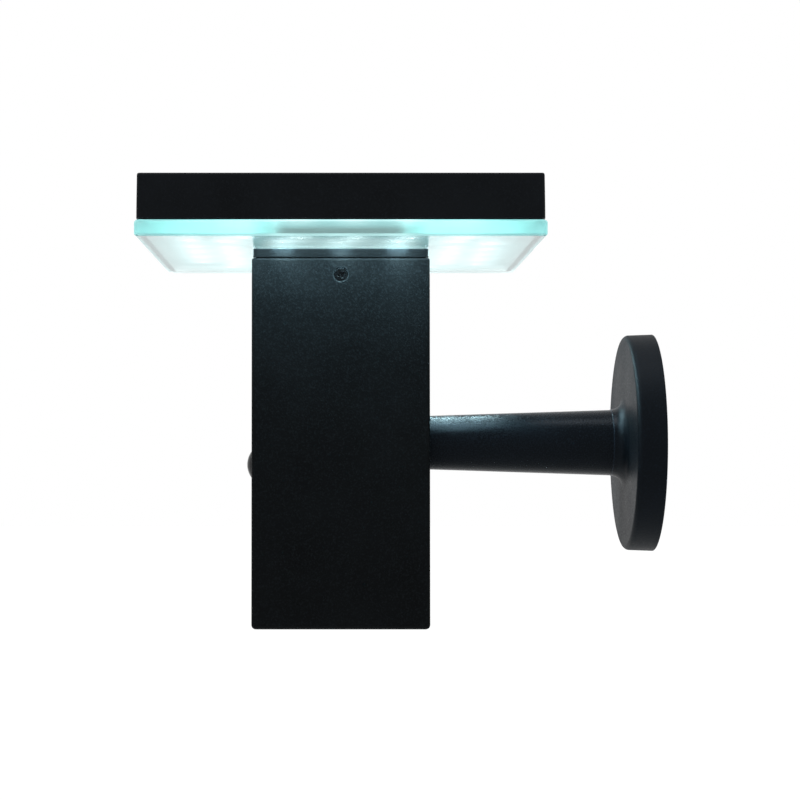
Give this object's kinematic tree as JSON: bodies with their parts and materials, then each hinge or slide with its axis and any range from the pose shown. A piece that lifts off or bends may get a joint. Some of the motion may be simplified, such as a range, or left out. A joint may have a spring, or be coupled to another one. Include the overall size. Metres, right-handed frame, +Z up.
{
  "type": "fence light",
  "caption": "Solar wall or fence light: square glass-edged head on a box column, carried by a tapered arm on a round wall flange, with a motion sensor.",
  "frame": {"origin": "centre of the wall bracket's back face, on the wall and on the arm's axis", "axes": "+X into the wall, +Z up, the lamp stands out along -X"},
  "size_m": [0.1981, 0.15, 0.1686],
  "materials": {
    "black_coat": "matte",
    "housing_black": "satin",
    "neck_black": "satin",
    "diffuser": "satin",
    "panel_glass": "gloss",
    "silicon": "gloss",
    "ribbon_metal": "satin",
    "white_sheet": "matte",
    "adhesive": "matte",
    "seal_black": "matte",
    "seal_light": "matte",
    "white_board": "matte",
    "green_board": "satin",
    "led": "satin",
    "zinc_steel": "satin",
    "black_steel": "satin",
    "chip_black": "matte",
    "connector_white": "satin",
    "sensor_can": "satin",
    "lens_dark": "satin",
    "holder_black": "matte",
    "cell_wrap": "satin",
    "contact_metal": "satin",
    "frame_white": "matte",
    "button_grey": "matte",
    "switch_black": "satin",
    "base_brown": "matte",
    "spring_steel": "polished",
    "lead_insulation": "satin",
    "bracket_zinc": "satin"
  },
  "bodies": {
    "bracket": {"wall_bracket": "bracket_zinc"},
    "lamp": {"head_housing": "housing_black", "solar_cover_glass": "panel_glass", "solar_cells": "silicon", "cell_ribbons": "ribbon_metal", "solar_backsheet": "white_sheet", "panel_adhesive": "adhesive", "glass_gasket": "seal_black", "led_board": "white_board", "leds": "led", "led_board_screws": "zinc_steel", "led_connector": "connector_white", "diffuser_glass": "diffuser", "neck_gasket": "seal_light", "neck": "neck_black", "neck_screws": "zinc_steel", "wire_grommet": "seal_black", "body_shell": "black_coat", "body_gasket": "seal_black", "body_screws": "black_steel", "inner_frame": "frame_white", "frame_screws": "zinc_steel", "control_board": "green_board", "board_components": "chip_black", "board_connectors": "connector_white", "board_screws": "zinc_steel", "pir_sensor": "sensor_can", "pir_lens": "lens_dark", "pir_seal": "seal_black", "battery_holder": "holder_black", "battery_cells": "cell_wrap", "battery_contacts": "contact_metal", "holder_screws": "zinc_steel", "switch_body": "switch_black", "switch_seal": "seal_black", "switch_nut": "zinc_steel", "switch_base": "base_brown", "switch_terminals": "contact_metal", "panel_leads": "lead_insulation", "led_leads": "lead_insulation", "battery_leads": "lead_insulation", "switch_leads": "lead_insulation", "arm": "black_coat", "arm_screws": "zinc_steel", "arm_washers": "zinc_steel", "arm_seal": "seal_black", "grub_screw": "black_steel", "wall_gasket": "seal_black", "switch_spring": "spring_steel"},
    "push_button": {"switch_button": "button_grey"}
  },
  "joints": [
    {"name": "level_swivel", "type": "hinge", "parent": "bracket", "child": "lamp", "pos_m": [0, 0, 0], "axis": [1, 0, 0], "range_deg": [-15, 15]},
    {"name": "switch_press", "type": "slide", "parent": "lamp", "child": "push_button", "axis": [0, 0, 1], "range_m": [0, 0.0012], "stiffness_N_per_m": 800, "springref_m": -0.0015, "deforming": ["switch_spring"]}
  ]
}
